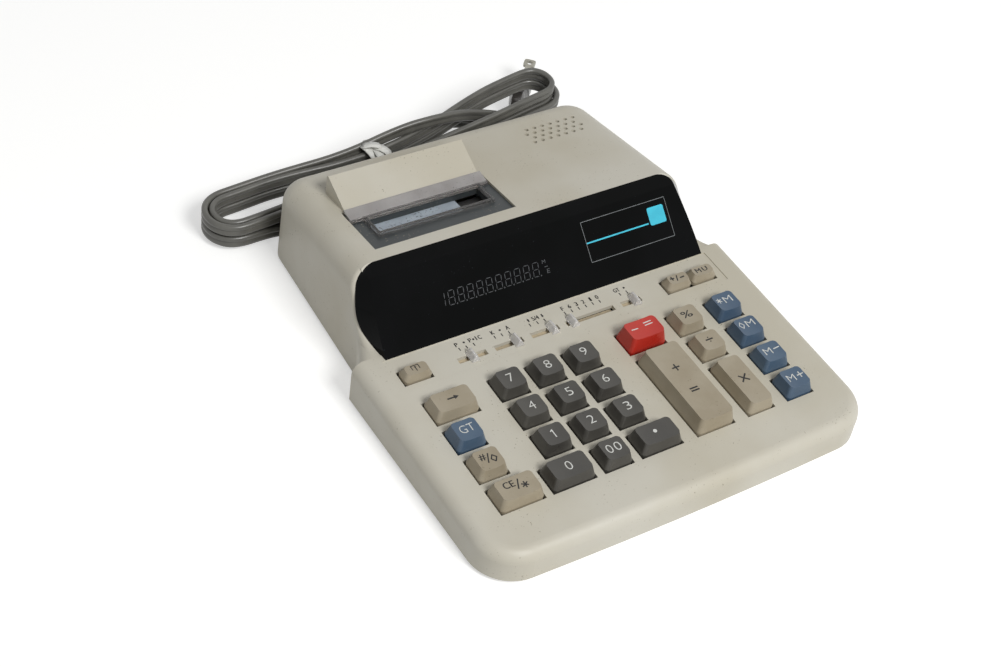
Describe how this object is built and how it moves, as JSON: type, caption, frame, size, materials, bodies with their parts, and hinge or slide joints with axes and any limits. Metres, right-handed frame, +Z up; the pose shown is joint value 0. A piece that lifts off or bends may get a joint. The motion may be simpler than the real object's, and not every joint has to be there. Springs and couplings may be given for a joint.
{
  "type": "adding machine",
  "caption": "Desktop printing calculator: cream wedge case, dark display window, recessed printer with paper hood, moving keys and slide switches, tied mains cord.",
  "frame": {"origin": "centre of the case's footprint, on the surface that the rubber feet stand on", "axes": "+X to the right seen from the front, +Y from the keyboard towards the rear, +Z up"},
  "size_m": [0.2249, 0.2998, 0.0552],
  "materials": {
    "case_cream": "fine texture",
    "window_black": "polished",
    "tube_glass": "clear",
    "circuit_board": "lacquered",
    "printer_dark": "satin",
    "clear_plastic": "clear",
    "printer_grey": "satin",
    "motor_steel": "plated",
    "core_steel": "varnished",
    "foot_rubber": "matte",
    "screw_steel": "zinc plated",
    "guide_black": "matte",
    "dome_rubber": "matte",
    "cord_sheath": "smooth",
    "tie_paper": "matte",
    "plug_black": "smooth",
    "knob_black": "satin",
    "platen_rubber": "matte",
    "gear_nylon": "satin",
    "carriage_black": "satin",
    "type_plastic": "moulded",
    "ink_felt": "inked",
    "key_dark": "satin",
    "key_blue": "satin",
    "key_red": "satin",
    "key_beige": "satin",
    "knob_cream": "satin"
  },
  "bodies": {
    "base": {"upper_case": "case_cream", "lower_case": "case_cream", "display_window": "window_black", "display_tube": "tube_glass", "logic_board": "circuit_board", "printer_cover": "printer_dark", "tear_bar": "clear_plastic", "paper_hood": "case_cream", "printer_frame": "printer_grey", "printer_motor": "motor_steel", "transformer": "core_steel", "rubber_feet": "foot_rubber", "case_screws": "screw_steel", "key_guide": "guide_black", "rubber_sheet": "dome_rubber", "key_board": "circuit_board", "strain_relief": "cord_sheath", "mains_cord": "cord_sheath", "cord_hank": "cord_sheath", "cord_tie": "tie_paper", "mains_plug": "plug_black"},
    "key_shift": {"key_shift": "key_beige"},
    "key_grand_total": {"key_grand_total": "key_blue"},
    "key_subtotal": {"key_subtotal": "key_beige"},
    "key_clear_total": {"key_clear_total": "key_beige"},
    "key_0": {"key_0": "key_dark"},
    "key_1": {"key_1": "key_dark"},
    "key_2": {"key_2": "key_dark"},
    "key_3": {"key_3": "key_dark"},
    "key_4": {"key_4": "key_dark"},
    "key_5": {"key_5": "key_dark"},
    "key_6": {"key_6": "key_dark"},
    "key_7": {"key_7": "key_dark"},
    "key_8": {"key_8": "key_dark"},
    "key_9": {"key_9": "key_dark"},
    "key_00": {"key_00": "key_dark"},
    "key_point": {"key_point": "key_dark"},
    "key_minus_equals": {"key_minus_equals": "key_red"},
    "key_plus_equals": {"key_plus_equals": "key_beige"},
    "key_percent": {"key_percent": "key_beige"},
    "key_divide": {"key_divide": "key_beige"},
    "key_multiply": {"key_multiply": "key_beige"},
    "key_memory_total": {"key_memory_total": "key_blue"},
    "key_memory_subtotal": {"key_memory_subtotal": "key_blue"},
    "key_memory_minus": {"key_memory_minus": "key_blue"},
    "key_memory_plus": {"key_memory_plus": "key_blue"},
    "key_paper_feed": {"key_paper_feed": "key_beige"},
    "key_sign_change": {"key_sign_change": "key_beige"},
    "key_mark_up": {"key_mark_up": "key_beige"},
    "switch_knob_print": {"switch_knob_print": "knob_cream"},
    "switch_knob_item": {"switch_knob_item": "knob_cream"},
    "switch_knob_round": {"switch_knob_round": "knob_cream"},
    "switch_knob_decimal": {"switch_knob_decimal": "knob_cream"},
    "switch_knob_total": {"switch_knob_total": "knob_cream"},
    "power_knob": {"power_knob": "knob_black"},
    "platen_roller": {"platen_roller": "platen_rubber"},
    "drive_gear": {"drive_gear": "gear_nylon"},
    "print_carriage": {"print_carriage": "carriage_black"},
    "type_wheel": {"type_wheel": "type_plastic"},
    "ink_roller": {"ink_roller": "ink_felt"}
  },
  "joints": [
    {"name": "key_shift_press", "type": "slide", "parent": "base", "child": "key_shift", "axis": [0, -0.0471, 0.9989], "range_m": [-0.003, 0], "stiffness_N_per_m": 100, "springref_m": 0.002},
    {"name": "key_grand_total_press", "type": "slide", "parent": "base", "child": "key_grand_total", "axis": [0, -0.0471, 0.9989], "range_m": [-0.003, 0], "stiffness_N_per_m": 100, "springref_m": 0.002},
    {"name": "key_subtotal_press", "type": "slide", "parent": "base", "child": "key_subtotal", "axis": [0, -0.0471, 0.9989], "range_m": [-0.003, 0], "stiffness_N_per_m": 100, "springref_m": 0.002},
    {"name": "key_clear_total_press", "type": "slide", "parent": "base", "child": "key_clear_total", "axis": [0, -0.0471, 0.9989], "range_m": [-0.003, 0], "stiffness_N_per_m": 100, "springref_m": 0.002},
    {"name": "key_0_press", "type": "slide", "parent": "base", "child": "key_0", "axis": [0, -0.0471, 0.9989], "range_m": [-0.003, 0], "stiffness_N_per_m": 100, "springref_m": 0.002},
    {"name": "key_1_press", "type": "slide", "parent": "base", "child": "key_1", "axis": [0, -0.0471, 0.9989], "range_m": [-0.003, 0], "stiffness_N_per_m": 100, "springref_m": 0.002},
    {"name": "key_2_press", "type": "slide", "parent": "base", "child": "key_2", "axis": [0, -0.0471, 0.9989], "range_m": [-0.003, 0], "stiffness_N_per_m": 100, "springref_m": 0.002},
    {"name": "key_3_press", "type": "slide", "parent": "base", "child": "key_3", "axis": [0, -0.0471, 0.9989], "range_m": [-0.003, 0], "stiffness_N_per_m": 100, "springref_m": 0.002},
    {"name": "key_4_press", "type": "slide", "parent": "base", "child": "key_4", "axis": [0, -0.0471, 0.9989], "range_m": [-0.003, 0], "stiffness_N_per_m": 100, "springref_m": 0.002},
    {"name": "key_5_press", "type": "slide", "parent": "base", "child": "key_5", "axis": [0, -0.0471, 0.9989], "range_m": [-0.003, 0], "stiffness_N_per_m": 100, "springref_m": 0.002},
    {"name": "key_6_press", "type": "slide", "parent": "base", "child": "key_6", "axis": [0, -0.0471, 0.9989], "range_m": [-0.003, 0], "stiffness_N_per_m": 100, "springref_m": 0.002},
    {"name": "key_7_press", "type": "slide", "parent": "base", "child": "key_7", "axis": [0, -0.0471, 0.9989], "range_m": [-0.003, 0], "stiffness_N_per_m": 100, "springref_m": 0.002},
    {"name": "key_8_press", "type": "slide", "parent": "base", "child": "key_8", "axis": [0, -0.0471, 0.9989], "range_m": [-0.003, 0], "stiffness_N_per_m": 100, "springref_m": 0.002},
    {"name": "key_9_press", "type": "slide", "parent": "base", "child": "key_9", "axis": [0, -0.0471, 0.9989], "range_m": [-0.003, 0], "stiffness_N_per_m": 100, "springref_m": 0.002},
    {"name": "key_00_press", "type": "slide", "parent": "base", "child": "key_00", "axis": [0, -0.0471, 0.9989], "range_m": [-0.003, 0], "stiffness_N_per_m": 100, "springref_m": 0.002},
    {"name": "key_point_press", "type": "slide", "parent": "base", "child": "key_point", "axis": [0, -0.0471, 0.9989], "range_m": [-0.003, 0], "stiffness_N_per_m": 100, "springref_m": 0.002},
    {"name": "key_minus_equals_press", "type": "slide", "parent": "base", "child": "key_minus_equals", "axis": [0, -0.0471, 0.9989], "range_m": [-0.003, 0], "stiffness_N_per_m": 100, "springref_m": 0.002},
    {"name": "key_plus_equals_press", "type": "slide", "parent": "base", "child": "key_plus_equals", "axis": [0, -0.0471, 0.9989], "range_m": [-0.003, 0], "stiffness_N_per_m": 100, "springref_m": 0.002},
    {"name": "key_percent_press", "type": "slide", "parent": "base", "child": "key_percent", "axis": [0, -0.0471, 0.9989], "range_m": [-0.003, 0], "stiffness_N_per_m": 100, "springref_m": 0.002},
    {"name": "key_divide_press", "type": "slide", "parent": "base", "child": "key_divide", "axis": [0, -0.0471, 0.9989], "range_m": [-0.003, 0], "stiffness_N_per_m": 100, "springref_m": 0.002},
    {"name": "key_multiply_press", "type": "slide", "parent": "base", "child": "key_multiply", "axis": [0, -0.0471, 0.9989], "range_m": [-0.003, 0], "stiffness_N_per_m": 100, "springref_m": 0.002},
    {"name": "key_memory_total_press", "type": "slide", "parent": "base", "child": "key_memory_total", "axis": [0, -0.0471, 0.9989], "range_m": [-0.003, 0], "stiffness_N_per_m": 100, "springref_m": 0.002},
    {"name": "key_memory_subtotal_press", "type": "slide", "parent": "base", "child": "key_memory_subtotal", "axis": [0, -0.0471, 0.9989], "range_m": [-0.003, 0], "stiffness_N_per_m": 100, "springref_m": 0.002},
    {"name": "key_memory_minus_press", "type": "slide", "parent": "base", "child": "key_memory_minus", "axis": [0, -0.0471, 0.9989], "range_m": [-0.003, 0], "stiffness_N_per_m": 100, "springref_m": 0.002},
    {"name": "key_memory_plus_press", "type": "slide", "parent": "base", "child": "key_memory_plus", "axis": [0, -0.0471, 0.9989], "range_m": [-0.003, 0], "stiffness_N_per_m": 100, "springref_m": 0.002},
    {"name": "key_paper_feed_press", "type": "slide", "parent": "base", "child": "key_paper_feed", "axis": [0, -0.0471, 0.9989], "range_m": [-0.003, 0], "stiffness_N_per_m": 100, "springref_m": 0.002},
    {"name": "key_sign_change_press", "type": "slide", "parent": "base", "child": "key_sign_change", "axis": [0, -0.0471, 0.9989], "range_m": [-0.003, 0], "stiffness_N_per_m": 100, "springref_m": 0.002},
    {"name": "key_mark_up_press", "type": "slide", "parent": "base", "child": "key_mark_up", "axis": [0, -0.0471, 0.9989], "range_m": [-0.003, 0], "stiffness_N_per_m": 100, "springref_m": 0.002},
    {"name": "switch_knob_print_slide", "type": "slide", "parent": "base", "child": "switch_knob_print", "axis": [1, 0, 0], "range_m": [-0.004, 0.004]},
    {"name": "switch_knob_item_slide", "type": "slide", "parent": "base", "child": "switch_knob_item", "axis": [1, 0, 0], "range_m": [-0.008, 0]},
    {"name": "switch_knob_round_slide", "type": "slide", "parent": "base", "child": "switch_knob_round", "axis": [1, 0, 0], "range_m": [-0.008, 0]},
    {"name": "switch_knob_decimal_slide", "type": "slide", "parent": "base", "child": "switch_knob_decimal", "axis": [1, 0, 0], "range_m": [0, 0.02]},
    {"name": "switch_knob_total_slide", "type": "slide", "parent": "base", "child": "switch_knob_total", "axis": [1, 0, 0], "range_m": [-0.004, 0]},
    {"name": "power_slide", "type": "slide", "parent": "base", "child": "power_knob", "axis": [-0.0577, 0.9983, 0], "range_m": [0, 0.005]},
    {"name": "platen_spin", "type": "hinge", "parent": "base", "child": "platen_roller", "pos_m": [-0.035, 0.065, 0.036], "axis": [1, 0, 0], "continuous": true},
    {"name": "drive_spin", "type": "hinge", "parent": "base", "child": "drive_gear", "pos_m": [0.0101, 0.07, 0.02346], "axis": [1, 0, 0], "continuous": true},
    {"name": "carriage_slide", "type": "slide", "parent": "base", "child": "print_carriage", "axis": [1, 0, 0], "range_m": [-0.045, 0]},
    {"name": "type_spin", "type": "hinge", "parent": "print_carriage", "child": "type_wheel", "pos_m": [-0.0125, 0.0559, 0.036], "axis": [1, 0, 0], "continuous": true},
    {"name": "ink_spin", "type": "hinge", "parent": "print_carriage", "child": "ink_roller", "pos_m": [-0.0125, 0.0496, 0.036], "axis": [1, 0, 0], "continuous": true}
  ],
  "couplings": [
    {"joint": "drive_spin", "follows": "platen_spin", "ratio": -0.5},
    {"joint": "ink_spin", "follows": "type_spin", "ratio": -1.8182}
  ]
}
